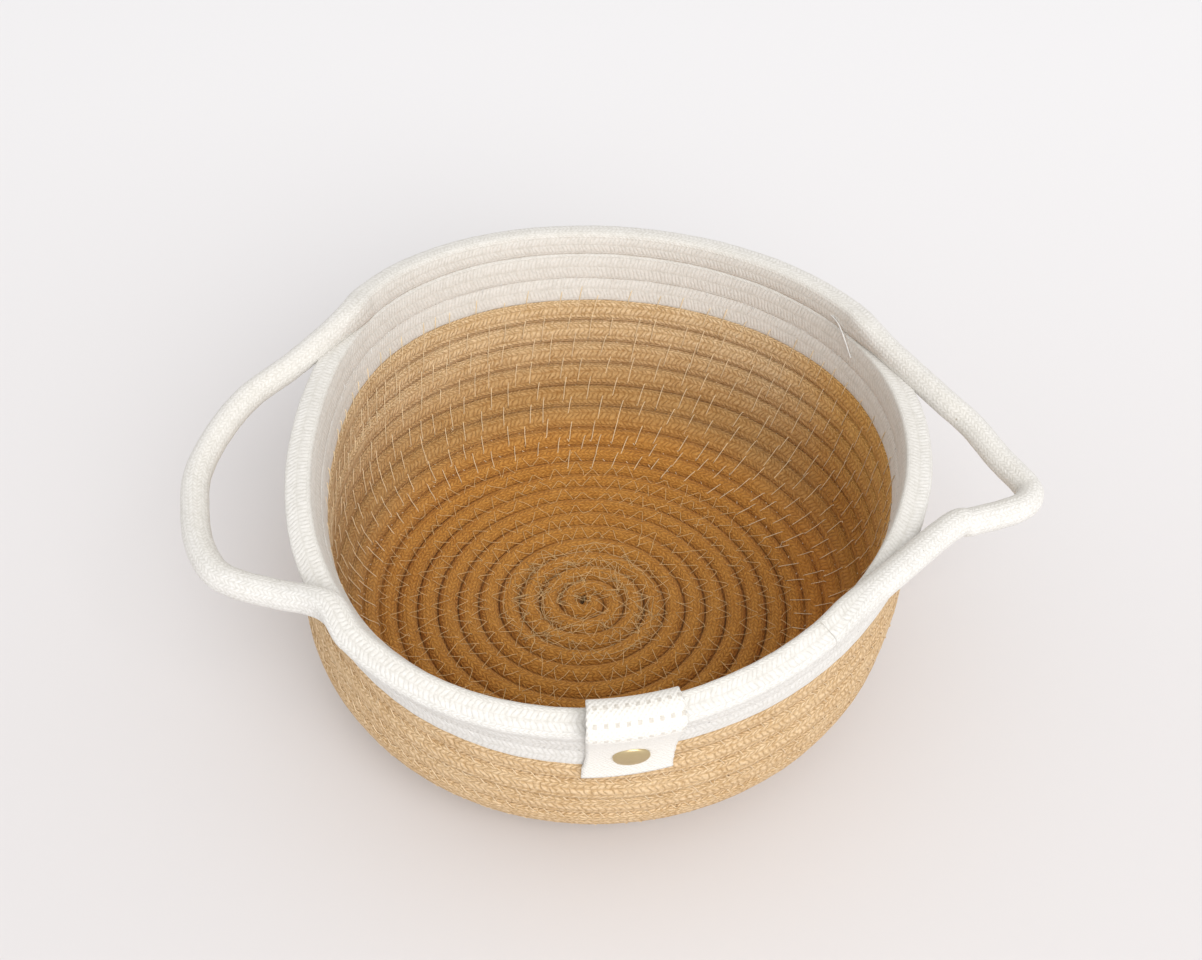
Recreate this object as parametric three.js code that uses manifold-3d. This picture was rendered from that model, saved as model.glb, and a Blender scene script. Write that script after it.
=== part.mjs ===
// Coiled rope storage basket: a flat spiral of tan rope turns up into a wall of six rows,
// three rows of white rope finish the rim, and the top white row swings out into two loop handles.
// A folded tape label sits over the rim, where the rope ends meet, and a two-part rivet holds it.
// Millimetres, +Z up, +X to the right and -Y towards the label.
import * as THREE from 'three';
import Module from 'manifold-3d';
import { mergeVertices } from 'three/addons/utils/BufferGeometryUtils.js';

const wasm = await Module();
wasm.setup();

// Rope
const ropeDiameter = 8.4;
const rowGap = 0.45;
const jointGap = 0.3;
const basePitch = 7;
const wallPitch = 8.85;
const floorFlat = ropeDiameter / 10;
const stepsPerTurn = 24;

// Turns are counted as rows: row 0 starts under the label, where the wall stands up. The tan
// rope is parted at the split row, at the edge of the base
const spiralRadius = 87.85;
const ropeStartRadius = 4.55;
const splitRow = -3;
const tanRows = 6;
const whiteRows = 3;
const labelAngle = -83;
const spiralCentre = new THREE.Vector3(-8.2, 0.5, 0);

// How the wall stands: where it starts to bend up, its lean from the floor in degrees, and how
// both differ round the basket. All rows up to the last flat one lie on the floor.
const lastFlatRow = -6;
const bendStartRow = -4.3;
const bendToBack = -0.22;
const bendToRight = 0.44;
const bendOval = -0.34;
const bendRows = 8.5;
const pitchChangeRow = -2;
const pitchChangeRows = 3;
const wallLean = 86.9;
const leanToBack = -7.6;
const leanToRight = -3.6;
const leanOval = 4.7;
const leanSkewOval = -2.1;
const leanThreeLobe = -1.25;
const rimFlare = 13.75;
const flareToBack = -21.3;
const flareToRight = -8.8;
const flareStartRow = 4;
const flareRows = 5;

// The white rope's end is pressed flat where the label folds over it
const pressedRows = 0.1;
const pressedHeight = 4;

// Handles: the angles in degrees round the basket where each leaves the rim and where its hinge
// ends stand, and its loop as [share of the hinge line from back to front, millimetres out from it].
// The half ball at a handle's end has its rings at the ball lifts, in degrees from the middle
const handleStandOff = 10;
const handleRise = -4;
const handleDroop = 5;
const handleSides = 8;
const handleSteps = 30;
const ballLifts = [25, 50, 75];
const tailSteps = 5;
const tailBendReach = 1 / 3;
const leftHandle = {
  leaveBack: 149,
  hingeBack: 164.6,
  hingeFront: -141,
  leaveFront: -125,
  loop: [[0.12, 13], [0.27, 22], [0.43, 26.8], [0.57, 26.7], [0.74, 24], [0.875, 18.5], [0.945, 11]],
};
const rightHandle = {
  leaveBack: 28,
  hingeBack: 10.6,
  hingeFront: -22,
  leaveFront: -38,
  loop: [[0.16, 10], [0.36, 18.5], [0.54, 25.7], [0.63, 26.3], [0.72, 23.3], [0.81, 16], [0.9, 7.5]],
};

// Label tape, and the rivet that holds it just above the ends of the tan and the white rope.
// The dome of the rivet is in shares of the cap's radius and height
const tapeWidth = 23.5;
const tapeThickness = 1.6;
const tapeClearance = 0.5;
const tapeBelowRivet = 13.3;
const tapeLegSteps = 8;
const rivetRow = 6.5;
const tapeFoldSteps = 8;
const rivetCapDiameter = 10.2;
const rivetCapHeight = 1.6;
const rivetEdge = 0.5;
const rivetDome = [[0.86, 0.72], [0.5, 0.94]];
const rivetSocketDepth = 0.8;
const postDiameter = 3;
const backFlangeDiameter = 8.5;
const backFlangeThickness = 0.9;
const roundSides = 24;

const tanCotton = new THREE.MeshStandardMaterial({ color: 0xcfa673, roughness: 0.95 });
const whiteCotton = new THREE.MeshStandardMaterial({ color: 0xece5db, roughness: 0.95 });
const tapeCotton = new THREE.MeshStandardMaterial({ color: 0xe9e3d9, roughness: 0.9 });
const paleBrass = new THREE.MeshStandardMaterial({ color: 0xd9c27c, roughness: 0.3, metalness: 1 });

const radians = THREE.MathUtils.degToRad;
const up = new THREE.Vector3(0, 0, 1);
const ropeRadius = ropeDiameter / 2;
const topRow = tanRows + whiteRows;
const ropeStartRow = (ropeStartRadius - spiralRadius) / basePitch;

function ease(value, start, length) {
  return THREE.MathUtils.smoothstep(value, start, start + length);
}

// A row number gives both the height on the wall and the angle round it, because the rope
// climbs one row in each clockwise turn
function rowAngle(row) {
  return radians(labelAngle) - 2 * Math.PI * row;
}

function rowAt(angleDegrees, turn) {
  const turnsPastLabel = (labelAngle - angleDegrees) / 360;
  return turn + turnsPastLabel - Math.floor(turnsPastLabel);
}

function pitchAt(row) {
  return basePitch + (wallPitch - basePitch) * ease(row, pitchChangeRow, pitchChangeRows);
}

function leanAt(row, angle) {
  const bendStart = bendStartRow + bendToBack * Math.sin(angle) + bendToRight * Math.cos(angle)
    + bendOval * Math.cos(2 * angle);
  const lean = wallLean + leanToBack * Math.sin(angle) + leanToRight * Math.cos(angle)
    + leanOval * Math.cos(2 * angle) + leanSkewOval * Math.sin(2 * angle)
    + leanThreeLobe * Math.cos(3 * angle);
  const flare = rimFlare + flareToBack * Math.sin(angle) + flareToRight * Math.cos(angle);
  return radians(lean * ease(row, bendStart, bendRows) - flare * ease(row, flareStartRow, flareRows));
}

// The middle of the rope, found by walking up the wall from where the base ends
function wallPoint(row, angle) {
  const stepRows = 0.05;
  let radius = spiralRadius + basePitch * Math.min(row, lastFlatRow);
  let height = ropeRadius - floorFlat;
  const climbed = Math.max(0, row - lastFlatRow);
  const steps = Math.ceil(climbed / stepRows);
  for (let step = 0; step < steps; step += 1) {
    const length = climbed / steps;
    const middle = lastFlatRow + (step + 0.5) * length;
    radius += pitchAt(middle) * length * Math.cos(leanAt(middle, angle));
    height += pitchAt(middle) * length * Math.sin(leanAt(middle, angle));
  }
  return new THREE.Vector3(radius * Math.cos(angle), radius * Math.sin(angle), height);
}

function outwardAt(angle) {
  return new THREE.Vector3(Math.cos(angle), Math.sin(angle), 0);
}

// Along the wall, towards the next row
function climbAt(row, angle) {
  const lean = leanAt(row, angle);
  return outwardAt(angle).multiplyScalar(Math.cos(lean)).setZ(Math.sin(lean));
}

// Square to the wall, towards the inside of the basket
function inwardAt(row, angle) {
  const lean = leanAt(row, angle);
  return outwardAt(angle).multiplyScalar(-Math.sin(lean)).setZ(Math.cos(lean));
}

// Six points round a rope squeezed between its neighbours: a point towards each of them
function ropeRing(centre, across, through, width) {
  const corners = [[1, 0], [0.5, 1], [-0.5, 1], [-1, 0], [-0.5, -1], [0.5, -1]];
  return corners.map(([a, b]) => centre.clone()
    .addScaledVector(across, a * width / 2)
    .addScaledVector(through, b * ropeRadius));
}

function roundRing(centre, across, through, radius) {
  return Array.from({ length: handleSides }, (_, side) => {
    const turn = 2 * Math.PI * side / handleSides;
    return centre.clone()
      .addScaledVector(across, radius * Math.cos(turn))
      .addScaledVector(through, radius * Math.sin(turn));
  });
}

// A closed skin over rings of points, each ring counter-clockwise about the way it travels
function loft(rings) {
  const sides = rings[0].length;
  const faces = [];
  for (let ring = 0; ring + 1 < rings.length; ring += 1) {
    for (let side = 0; side < sides; side += 1) {
      const here = ring * sides + side;
      const next = ring * sides + (side + 1) % sides;
      faces.push(here, next, next + sides);
      faces.push(here, next + sides, here + sides);
    }
  }
  const last = (rings.length - 1) * sides;
  for (let side = 1; side + 1 < sides; side += 1) {
    faces.push(0, side + 1, side);
    faces.push(last, last + side, last + side + 1);
  }
  const positions = rings.flat().flatMap((point) => point.toArray());
  const geometry = new THREE.BufferGeometry();
  geometry.setAttribute('position', new THREE.Float32BufferAttribute(positions, 3));
  geometry.setIndex(faces);
  return geometry;
}

// One ring of the wound rope, cut flat where it stands on the floor
function woundRing(row) {
  const angle = rowAngle(row);
  const fullHeight = pitchAt(row) - rowGap;
  const pressed = ease(row, topRow - pressedRows, pressedRows);
  const height = fullHeight + (pressedHeight - fullHeight) * pressed;
  const centre = wallPoint(row, angle).addScaledVector(climbAt(row, angle), (height - fullHeight) / 2);
  const ring = ropeRing(centre, climbAt(row, angle), inwardAt(row, angle), height);
  ring.forEach((point) => point.setZ(Math.max(point.z, 0)));
  return ring;
}

// The rope runs straight between stations set half a step off the label, so that the label
// and the rope ends under it lie on one straight stretch
const stationBefore = (row) => (Math.floor(row * stepsPerTurn - 0.5) + 0.5) / stepsPerTurn;

function betweenStations(row, pointsAt) {
  const before = stationBefore(row);
  const after = pointsAt(before + 1 / stepsPerTurn);
  const share = (row - before) * stepsPerTurn;
  return pointsAt(before).map((point, index) => point.lerp(after[index], share));
}

function woundRings(fromRow, toRow) {
  const rings = [betweenStations(fromRow, woundRing)];
  for (let row = stationBefore(fromRow) + 1 / stepsPerTurn; row < toRow; row += 1 / stepsPerTurn) {
    rings.push(woundRing(row));
  }
  rings.push(betweenStations(toRow, woundRing));
  return rings;
}

// Least distance between the corners of one rope that lie more than half a turn apart
function leastGap(rings) {
  let least = Infinity;
  for (let first = 0; first < rings.length; first += 1) {
    for (let second = first + stepsPerTurn / 2; second < rings.length; second += 1) {
      for (const here of rings[first]) {
        for (const there of rings[second]) {
          least = Math.min(least, here.distanceTo(there));
        }
      }
    }
  }
  return least;
}

// Handles
function hingePoint(angleDegrees) {
  const angle = radians(angleDegrees);
  return wallPoint(rowAt(angleDegrees, topRow - 1), angle)
    .addScaledVector(outwardAt(angle), handleStandOff)
    .addScaledVector(up, handleRise);
}

function handleCurve(handle) {
  const back = hingePoint(handle.hingeBack);
  const front = hingePoint(handle.hingeFront);
  const along = front.clone().sub(back);
  const out = along.clone().cross(up).normalize();
  if (out.dot(back) < 0) {
    out.negate();
  }
  const points = handle.loop.map(([share, reach]) => back.clone()
    .addScaledVector(along, share)
    .addScaledVector(out, reach)
    .addScaledVector(up, -handleDroop * Math.sin(Math.PI * share)));
  return new THREE.CatmullRomCurve3([back, ...points, front], false, 'centripetal');
}

// Two directions square to a rope's own direction, the first of them upwards
function ropeFrame(direction) {
  const through = direction.clone().cross(up).normalize();
  const across = through.clone().cross(direction).normalize();
  return [across, through];
}

// A round rope with a half ball at each end, centred on the hinge line, so that it turns
// in its place against the flat end of the rope beside it
function handleGeometry(handle) {
  const curve = handleCurve(handle);
  const lifts = ballLifts.map(radians);
  const ballRing = (share, side, lift) => {
    const direction = curve.getTangentAt(share);
    const centre = curve.getPointAt(share).addScaledVector(direction, side * ropeRadius * Math.sin(lift));
    return roundRing(centre, ...ropeFrame(direction), ropeRadius * Math.cos(lift));
  };
  const rings = lifts.map((lift) => ballRing(0, -1, lift)).reverse();
  for (let step = 0; step <= handleSteps; step += 1) {
    const share = step / handleSteps;
    rings.push(roundRing(curve.getPointAt(share), ...ropeFrame(curve.getTangentAt(share)), ropeRadius));
  }
  rings.push(...lifts.map((lift) => ballRing(1, 1, lift)));
  return loft(rings);
}

// The rope between the rim and a hinge end, in the order from the rim. It bends out of its row
// and runs straight for its last diameter, square to the end of the handle.
function tailRings(handle, atBack, travel) {
  const leaveAngle = atBack ? handle.leaveBack : handle.leaveFront;
  const row = rowAt(leaveAngle, topRow - 1);
  const rowMiddle = (at) => betweenStations(at, (station) => [wallPoint(station, rowAngle(station))])[0];
  const start = rowMiddle(row);
  const rowDirection = rowMiddle(row + travel / stepsPerTurn / 2).sub(start).normalize();
  const curve = handleCurve(handle);
  const away = atBack ? curve.getTangentAt(0).negate() : curve.getTangentAt(1);
  const hinge = atBack ? curve.getPointAt(0) : curve.getPointAt(1);
  const end = hinge.clone().addScaledVector(away, ropeRadius + jointGap);
  const straight = end.clone().addScaledVector(away, ropeDiameter);
  const reach = start.distanceTo(straight) * tailBendReach;
  const bend = new THREE.CubicBezierCurve3(
    start,
    start.clone().addScaledVector(rowDirection, reach),
    straight.clone().addScaledVector(away, reach),
    straight,
  );
  const climb = climbAt(row, radians(leaveAngle));
  const height = wallPitch - rowGap;
  const ringAt = (centre, direction, share) => {
    const [across] = ropeFrame(direction);
    const tilted = climb.clone().lerp(across, share);
    const through = direction.clone().cross(tilted).normalize();
    return ropeRing(centre, through.clone().cross(direction).normalize(), through, height);
  };
  const rings = [];
  for (let step = 1; step <= tailSteps; step += 1) {
    const share = step / tailSteps;
    rings.push(ringAt(bend.getPoint(share), bend.getTangent(share).multiplyScalar(travel), share));
  }
  rings.push(ringAt(end, away.clone().multiplyScalar(-travel), 1));
  return rings;
}

// Label and rivet stand on the straight stretch of the rows at the label
function facetAt(row) {
  const halfStep = Math.PI / stepsPerTurn;
  const angles = [radians(labelAngle) - halfStep, radians(labelAngle) + halfStep];
  const [left, right] = angles.map((angle) => wallPoint(row, angle));
  const [inwardLeft, inwardRight] = angles.map((angle) => inwardAt(row, angle));
  const along = right.clone().sub(left).normalize();
  const inward = inwardLeft.add(inwardRight);
  inward.addScaledVector(along, -inward.dot(along)).normalize();
  const centre = left.lerp(right, 0.5);
  const climb = along.clone().cross(inward);
  return { centre, along, inward, climb };
}

// One folded strip: up the outside, over the pressed rope end and down the inside
function tapeGeometry() {
  const lift = ropeRadius + tapeClearance + tapeThickness / 2;
  const foldRow = topRow - (wallPitch - rowGap - pressedHeight) / 2 / wallPitch;
  const lowRow = rivetRow - tapeBelowRivet / wallPitch;
  const rings = [];
  const addRing = (row, turn) => {
    const { centre, along, inward, climb } = facetAt(row);
    const normal = inward.multiplyScalar(-Math.cos(turn)).addScaledVector(climb, Math.sin(turn));
    const middle = centre.addScaledVector(normal, lift);
    rings.push([[1, -1], [-1, -1], [-1, 1], [1, 1]].map(([side, face]) => middle.clone()
      .addScaledVector(along, side * tapeWidth / 2)
      .addScaledVector(normal, face * tapeThickness / 2)));
  };
  for (let step = 0; step < tapeLegSteps; step += 1) {
    addRing(lowRow + (foldRow - lowRow) * step / tapeLegSteps, 0);
  }
  for (let step = 0; step <= tapeFoldSteps; step += 1) {
    addRing(foldRow, Math.PI * step / tapeFoldSteps);
  }
  for (let step = tapeLegSteps - 1; step >= 0; step -= 1) {
    addRing(lowRow + (foldRow - lowRow) * step / tapeLegSteps, Math.PI);
  }
  return loft(rings);
}

// Turned pieces are drawn along the Y axis, which points outwards through the wall at the rivet
function onRivetAxis(geometry) {
  const { centre, along, inward, climb } = facetAt(rivetRow);
  const outward = inward.negate();
  return geometry.applyMatrix4(new THREE.Matrix4().makeBasis(along, outward, climb.negate()).setPosition(centre));
}

const tapeFace = ropeRadius + tapeClearance + tapeThickness;

function turned(outline) {
  return new THREE.LatheGeometry(outline.map(([radius, height]) => new THREE.Vector2(radius, height)), roundSides);
}

function rivetCapGeometry() {
  const seat = tapeFace + jointGap;
  const edge = rivetCapDiameter / 2;
  const socket = postDiameter / 2 + jointGap;
  return turned([
    [0, seat + rivetSocketDepth],
    [socket, seat + rivetSocketDepth],
    [socket, seat],
    [edge, seat],
    [edge, seat + rivetEdge],
    ...rivetDome.map(([radius, height]) => [edge * radius, seat + rivetCapHeight * height]),
    [0, seat + rivetCapHeight],
  ]);
}

function rivetStudGeometry() {
  const seat = tapeFace + jointGap;
  return turned([
    [0, -seat - backFlangeThickness],
    [backFlangeDiameter / 2, -seat - backFlangeThickness],
    [backFlangeDiameter / 2, -seat],
    [postDiameter / 2, -seat],
    [postDiameter / 2, seat + rivetSocketDepth - jointGap],
    [0, seat + rivetSocketDepth - jointGap],
  ]);
}

// Cuts
function solidOf(geometry) {
  const bare = geometry.clone();
  bare.deleteAttribute('normal');
  bare.deleteAttribute('uv');
  const merged = mergeVertices(bare);
  return new wasm.Manifold(new wasm.Mesh({
    numProp: 3,
    vertProperties: merged.attributes.position.array,
    triVerts: Uint32Array.from(merged.index.array),
  }));
}

function cut(geometry, tool) {
  const mesh = solidOf(geometry).subtract(solidOf(tool)).getMesh();
  const result = new THREE.BufferGeometry();
  result.setAttribute('position', new THREE.BufferAttribute(mesh.vertProperties, 3));
  result.setIndex(new THREE.BufferAttribute(mesh.triVerts, 1));
  return result;
}

// The tan rope ends and the white rope starts under the middle of the label
const endRows = jointGap / 2 / (2 * Math.PI * facetAt(tanRows).centre.clone().setZ(0).length());
const punch = onRivetAxis(new THREE.CylinderGeometry(
  postDiameter / 2 + jointGap,
  postDiameter / 2 + jointGap,
  2 * (tapeFace + jointGap),
  roundSides,
));

const splitGapRows = jointGap / (2 * Math.PI * (spiralRadius + basePitch * splitRow));
const tanBaseRings = woundRings(ropeStartRow, splitRow - splitGapRows);
const tanWallRings = woundRings(splitRow, tanRows - endRows);
const bandRings = [
  ...woundRings(tanRows + endRows, rowAt(leftHandle.leaveFront, topRow - 1)),
  ...tailRings(leftHandle, false, 1),
];
const backRings = [
  ...tailRings(leftHandle, true, -1).reverse(),
  ...woundRings(rowAt(leftHandle.leaveBack, topRow - 1), rowAt(rightHandle.leaveBack, topRow - 1)),
  ...tailRings(rightHandle, true, 1),
];
const frontRings = [
  ...tailRings(rightHandle, false, -1).reverse(),
  ...woundRings(rowAt(rightHandle.leaveFront, topRow - 1), topRow - endRows),
];

console.log(`least gap of the tan rope to itself ${leastGap([...tanBaseRings, ...tanWallRings]).toFixed(3)} mm`);
console.log(`least gap of the white rope to itself ${leastGap(bandRings).toFixed(3)} mm`);

const basket = new THREE.Group();
basket.position.copy(spiralCentre);

function add(name, geometry, material) {
  const mesh = new THREE.Mesh(geometry, material);
  mesh.name = name;
  basket.add(mesh);
}

add('tan_rope_base', loft(tanBaseRings), tanCotton);
add('tan_rope_wall', cut(loft(tanWallRings), punch), tanCotton);
add('white_rope_band', cut(loft(bandRings), punch), whiteCotton);
add('rim_rope_back', loft(backRings), whiteCotton);
add('rim_rope_front', loft(frontRings), whiteCotton);
add('handle_left', handleGeometry(leftHandle), whiteCotton);
add('handle_right', handleGeometry(rightHandle), whiteCotton);
add('label_tape', cut(tapeGeometry(), punch), tapeCotton);
add('rivet_cap', onRivetAxis(rivetCapGeometry()), paleBrass);
add('rivet_stud', onRivetAxis(rivetStudGeometry()), paleBrass);

export default basket;
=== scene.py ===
import math

import bmesh
import bpy
import numpy as np
from mathutils import Matrix, Vector


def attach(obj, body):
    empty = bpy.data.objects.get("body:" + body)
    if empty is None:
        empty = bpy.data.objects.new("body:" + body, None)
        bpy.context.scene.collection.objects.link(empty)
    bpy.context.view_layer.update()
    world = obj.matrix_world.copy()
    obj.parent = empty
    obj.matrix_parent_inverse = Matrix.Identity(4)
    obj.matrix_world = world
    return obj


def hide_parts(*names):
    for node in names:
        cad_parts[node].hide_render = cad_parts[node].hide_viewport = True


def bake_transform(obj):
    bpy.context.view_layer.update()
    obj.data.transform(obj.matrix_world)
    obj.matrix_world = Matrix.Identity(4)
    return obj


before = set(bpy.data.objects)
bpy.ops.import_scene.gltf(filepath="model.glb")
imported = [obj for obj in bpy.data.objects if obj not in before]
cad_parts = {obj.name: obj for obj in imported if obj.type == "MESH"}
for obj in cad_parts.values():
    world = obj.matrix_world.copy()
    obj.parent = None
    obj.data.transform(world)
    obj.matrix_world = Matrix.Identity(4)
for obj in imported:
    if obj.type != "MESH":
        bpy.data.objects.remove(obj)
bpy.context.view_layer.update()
mm = 0.001  # the sizes below are in millimetres

# the wound wall, as the frame has it. A row is one turn of the rope, counted up the wall from 0 and
# down to the middle of the base. The terms to the back, to the right, oval and so on change the
# wall round the basket, and leans and flares are in degrees.
wall = {
    "centre": (-8.2, 0.5, 0),
    "ropeDiameter": 8.4,
    "basePitch": 7,
    "wallPitch": 8.85,
    "spiralRadius": 87.85,
    "tanRows": 6,
    "whiteRows": 3,
    "labelAngle": -83,
    "lastFlatRow": -6,
    "bendStartRow": -4.3,
    "bendToBack": -0.22,
    "bendToRight": 0.44,
    "bendOval": -0.34,
    "bendRows": 8.5,
    "pitchChangeRow": -2,
    "pitchChangeRows": 3,
    "lean": 86.9,
    "leanToBack": -7.6,
    "leanToRight": -3.6,
    "leanOval": 4.7,
    "leanSkewOval": -2.1,
    "leanThreeLobe": -1.25,
    "flare": 13.75,
    "flareToBack": -21.3,
    "flareToRight": -8.8,
    "flareStartRow": 4,
    "flareRows": 5,
}
topRow = wall["tanRows"] + wall["whiteRows"]
rimRow = topRow - 1  # where the rim's turn starts, at the label
ropeRadius = wall["ropeDiameter"] / 2
baseHeight = ropeRadius - wall["ropeDiameter"] / 10  # middle of the base's rope, which lies a bit flat
wallCentre = np.array(wall["centre"], float)
up = np.array([0.0, 0.0, 1.0])
climbSteps = 240  # steps in which the way up to a row is added together
weldDistance = 1e-6  # metres
roundSection = 2  # squareness of a round section; a higher one is squarer


# 0 up to the start, 1 after the length, and a smooth change between
def ease(value, start, length):
    share = np.clip((value - start) / length, 0, 1)
    return share * share * (3 - 2 * share)


def unit(vectors):
    return vectors / np.linalg.norm(vectors, axis=-1, keepdims=True)


def rowAngle(row):
    return math.radians(wall["labelAngle"]) - 2 * math.pi * row


# the row at an angle, in the turn that starts at the label with the given row
def rowAt(angleDegrees, turn):
    turns = (wall["labelAngle"] - angleDegrees) / 360
    return turn + turns - math.floor(turns)


def pitchAt(row):
    gain = wall["wallPitch"] - wall["basePitch"]
    return wall["basePitch"] + gain * ease(row, wall["pitchChangeRow"], wall["pitchChangeRows"])


def leanAt(row, angle):
    toBack, toRight = np.sin(angle), np.cos(angle)
    oval, skewOval, threeLobe = np.cos(2 * angle), np.sin(2 * angle), np.cos(3 * angle)
    start = wall["bendStartRow"] + wall["bendToBack"] * toBack
    start = start + wall["bendToRight"] * toRight + wall["bendOval"] * oval
    lean = wall["lean"] + wall["leanToBack"] * toBack + wall["leanToRight"] * toRight
    lean = lean + wall["leanOval"] * oval + wall["leanSkewOval"] * skewOval
    lean = lean + wall["leanThreeLobe"] * threeLobe
    flare = wall["flare"] + wall["flareToBack"] * toBack + wall["flareToRight"] * toRight
    bend = ease(row, start, wall["bendRows"])
    return np.radians(lean * bend - flare * ease(row, wall["flareStartRow"], wall["flareRows"]))


# middle of the rope, the way up the wall and the way in through it, for arrays of rows and angles
def wallFrames(row, angle):
    climbed = np.maximum(0, row - wall["lastFlatRow"])
    radius = wall["spiralRadius"] + wall["basePitch"] * np.minimum(row, wall["lastFlatRow"])
    height = np.full_like(row, baseHeight)
    for step in range(climbSteps):
        middle = wall["lastFlatRow"] + climbed * (step + 0.5) / climbSteps
        length = pitchAt(middle) * climbed / climbSteps
        lean = leanAt(middle, angle)
        radius = radius + length * np.cos(lean)
        height = height + length * np.sin(lean)
    outward = np.stack([np.cos(angle), np.sin(angle), np.zeros_like(angle)], -1)
    lean = leanAt(row, angle)[..., None]
    centre = outward * radius[..., None] + up * height[..., None] + wallCentre
    climb = outward * np.cos(lean) + up * np.sin(lean)
    inward = up * np.cos(lean) - outward * np.sin(lean)
    return centre, climb, inward


# meshes: a flat grid with its points from -1 to 1, which is then bent and given a map
def flatGrid(name, columns, rows):
    bm = bmesh.new()
    bmesh.ops.create_grid(bm, x_segments=columns, y_segments=rows, size=1)
    mesh = bpy.data.meshes.new(name)
    bm.to_mesh(mesh)
    bm.free()
    flat = np.empty(len(mesh.vertices) * 3)
    mesh.vertices.foreach_get("co", flat)
    return mesh, flat.reshape(-1, 3)


def bendGrid(mesh, place, mapName, mapAcross, mapUp):
    mesh.vertices.foreach_set("co", (place * mm).ravel())
    layer = mesh.uv_layers.new(name=mapName)
    corner = np.empty(len(mesh.loops), int)
    mesh.loops.foreach_get("vertex_index", corner)
    layer.data.foreach_set("uv", np.stack([mapAcross, mapUp], -1)[corner].ravel())


def addObject(name, data):
    piece = bpy.data.objects.new(name, data)
    bpy.context.scene.collection.objects.link(piece)
    return piece


def rounded(wave, squareness):
    return np.sign(wave) * np.abs(wave) ** (roundSection / squareness)


# a closed tube: each ring is a round or squarish section on two directions square to the path
def tube(name, centre, across, through, halfAcross, halfThrough, sides, startLength=0, relief=None,
         floor=None, squareness=roundSection):
    rings = len(centre)
    mesh, flat = flatGrid(name, rings - 1, sides)
    ring = np.rint((flat[:, 0] + 1) / 2 * (rings - 1)).astype(int)
    side = np.rint((flat[:, 1] + 1) / 2 * sides).astype(int)
    steps = np.linalg.norm(np.diff(centre, axis=0), axis=1)
    length = startLength + np.concatenate([[0], np.cumsum(steps)])
    turn = 2 * math.pi * side / sides
    swell = np.ones(len(ring)) if relief is None else relief(length[ring], turn)
    square = np.broadcast_to(squareness, rings)[ring]
    toSide = np.broadcast_to(halfAcross, rings)[ring] * rounded(np.cos(turn), square) * swell
    toFace = np.broadcast_to(halfThrough, rings)[ring] * rounded(np.sin(turn), square) * swell
    place = centre[ring] + across[ring] * toSide[:, None] + through[ring] * toFace[:, None]
    if floor is not None:
        place[:, 2] = np.maximum(place[:, 2], floor)
    bendGrid(mesh, place, "ropeMap", length[ring], side / sides)
    bm = bmesh.new()
    bm.from_mesh(mesh)
    bmesh.ops.remove_doubles(bm, verts=bm.verts, dist=weldDistance)
    for face in bm.faces:
        face.smooth = True
    rims = [edge for edge in bm.edges if edge.is_boundary]
    bmesh.ops.holes_fill(bm, edges=rims)
    for edge in rims:
        edge.smooth = False
    bmesh.ops.recalc_face_normals(bm, faces=bm.faces)
    bm.to_mesh(mesh)
    bm.free()
    return addObject(name, mesh), length[-1]


def dress(piece, material, body, slotName, *nodes):
    piece.data.materials.clear()
    piece.data.materials.append(material)
    if body:
        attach(piece, body)
    if nodes:
        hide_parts(*nodes)


# materials: noises are [scale, detail, roughness], and ranges are [from, to]
def newMaterial(name):
    material = bpy.data.materials.new(name)
    material.use_nodes = True
    tree = material.node_tree
    return material, tree, tree.nodes["Principled BSDF"]


def mathNode(tree, operation, *values):
    node = tree.nodes.new("ShaderNodeMath")
    node.operation = operation
    for place, value in enumerate(values):
        if isinstance(value, (int, float)):
            node.inputs[place].default_value = value
        else:
            tree.links.new(value, node.inputs[place])
    return node.outputs[0]


def noiseNode(tree, vector, scale, detail, roughness):
    node = tree.nodes.new("ShaderNodeTexNoise")
    node.inputs["Scale"].default_value = scale
    node.inputs["Detail"].default_value = detail
    node.inputs["Roughness"].default_value = roughness
    tree.links.new(vector, node.inputs["Vector"])
    return node.outputs["Fac"]


def mixColour(tree, factor, first, second, blend="MIX"):
    node = tree.nodes.new("ShaderNodeMix")
    node.data_type = "RGBA"
    node.blend_type = blend
    for socket, value in ((node.inputs[0], factor), (node.inputs[6], first), (node.inputs[7], second)):
        if isinstance(value, (int, float)):
            socket.default_value = value
        elif isinstance(value, tuple):
            socket.default_value = (*value, 1)
        else:
            tree.links.new(value, socket)
    return node.outputs[2]


def rampNode(tree, value, low, high):
    node = tree.nodes.new("ShaderNodeMapRange")
    node.interpolation_type = "SMOOTHSTEP"
    node.inputs["From Min"].default_value = low
    node.inputs["From Max"].default_value = high
    tree.links.new(value, node.inputs["Value"])
    return node.outputs["Result"]


def objectCoords(tree):
    return tree.nodes.new("ShaderNodeTexCoord").outputs["Object"]


def splitNode(tree, vector):
    node = tree.nodes.new("ShaderNodeSeparateXYZ")
    tree.links.new(vector, node.inputs[0])
    return node.outputs


def mapNode(tree, mapName):
    node = tree.nodes.new("ShaderNodeUVMap")
    node.uv_map = mapName
    return splitNode(tree, node.outputs["UV"])


def bumpNode(tree, shader, height, strength, distance):
    node = tree.nodes.new("ShaderNodeBump")
    node.inputs["Strength"].default_value = strength
    node.inputs["Distance"].default_value = distance * mm
    tree.links.new(height, node.inputs["Height"])
    tree.links.new(node.outputs["Normal"], shader.inputs["Normal"])


def ridges(tree, value, sharpness):
    wave = mathNode(tree, "SINE", mathNode(tree, "MULTIPLY", value, math.pi))
    return mathNode(tree, "POWER", mathNode(tree, "ABSOLUTE", wave), sharpness)


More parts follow.
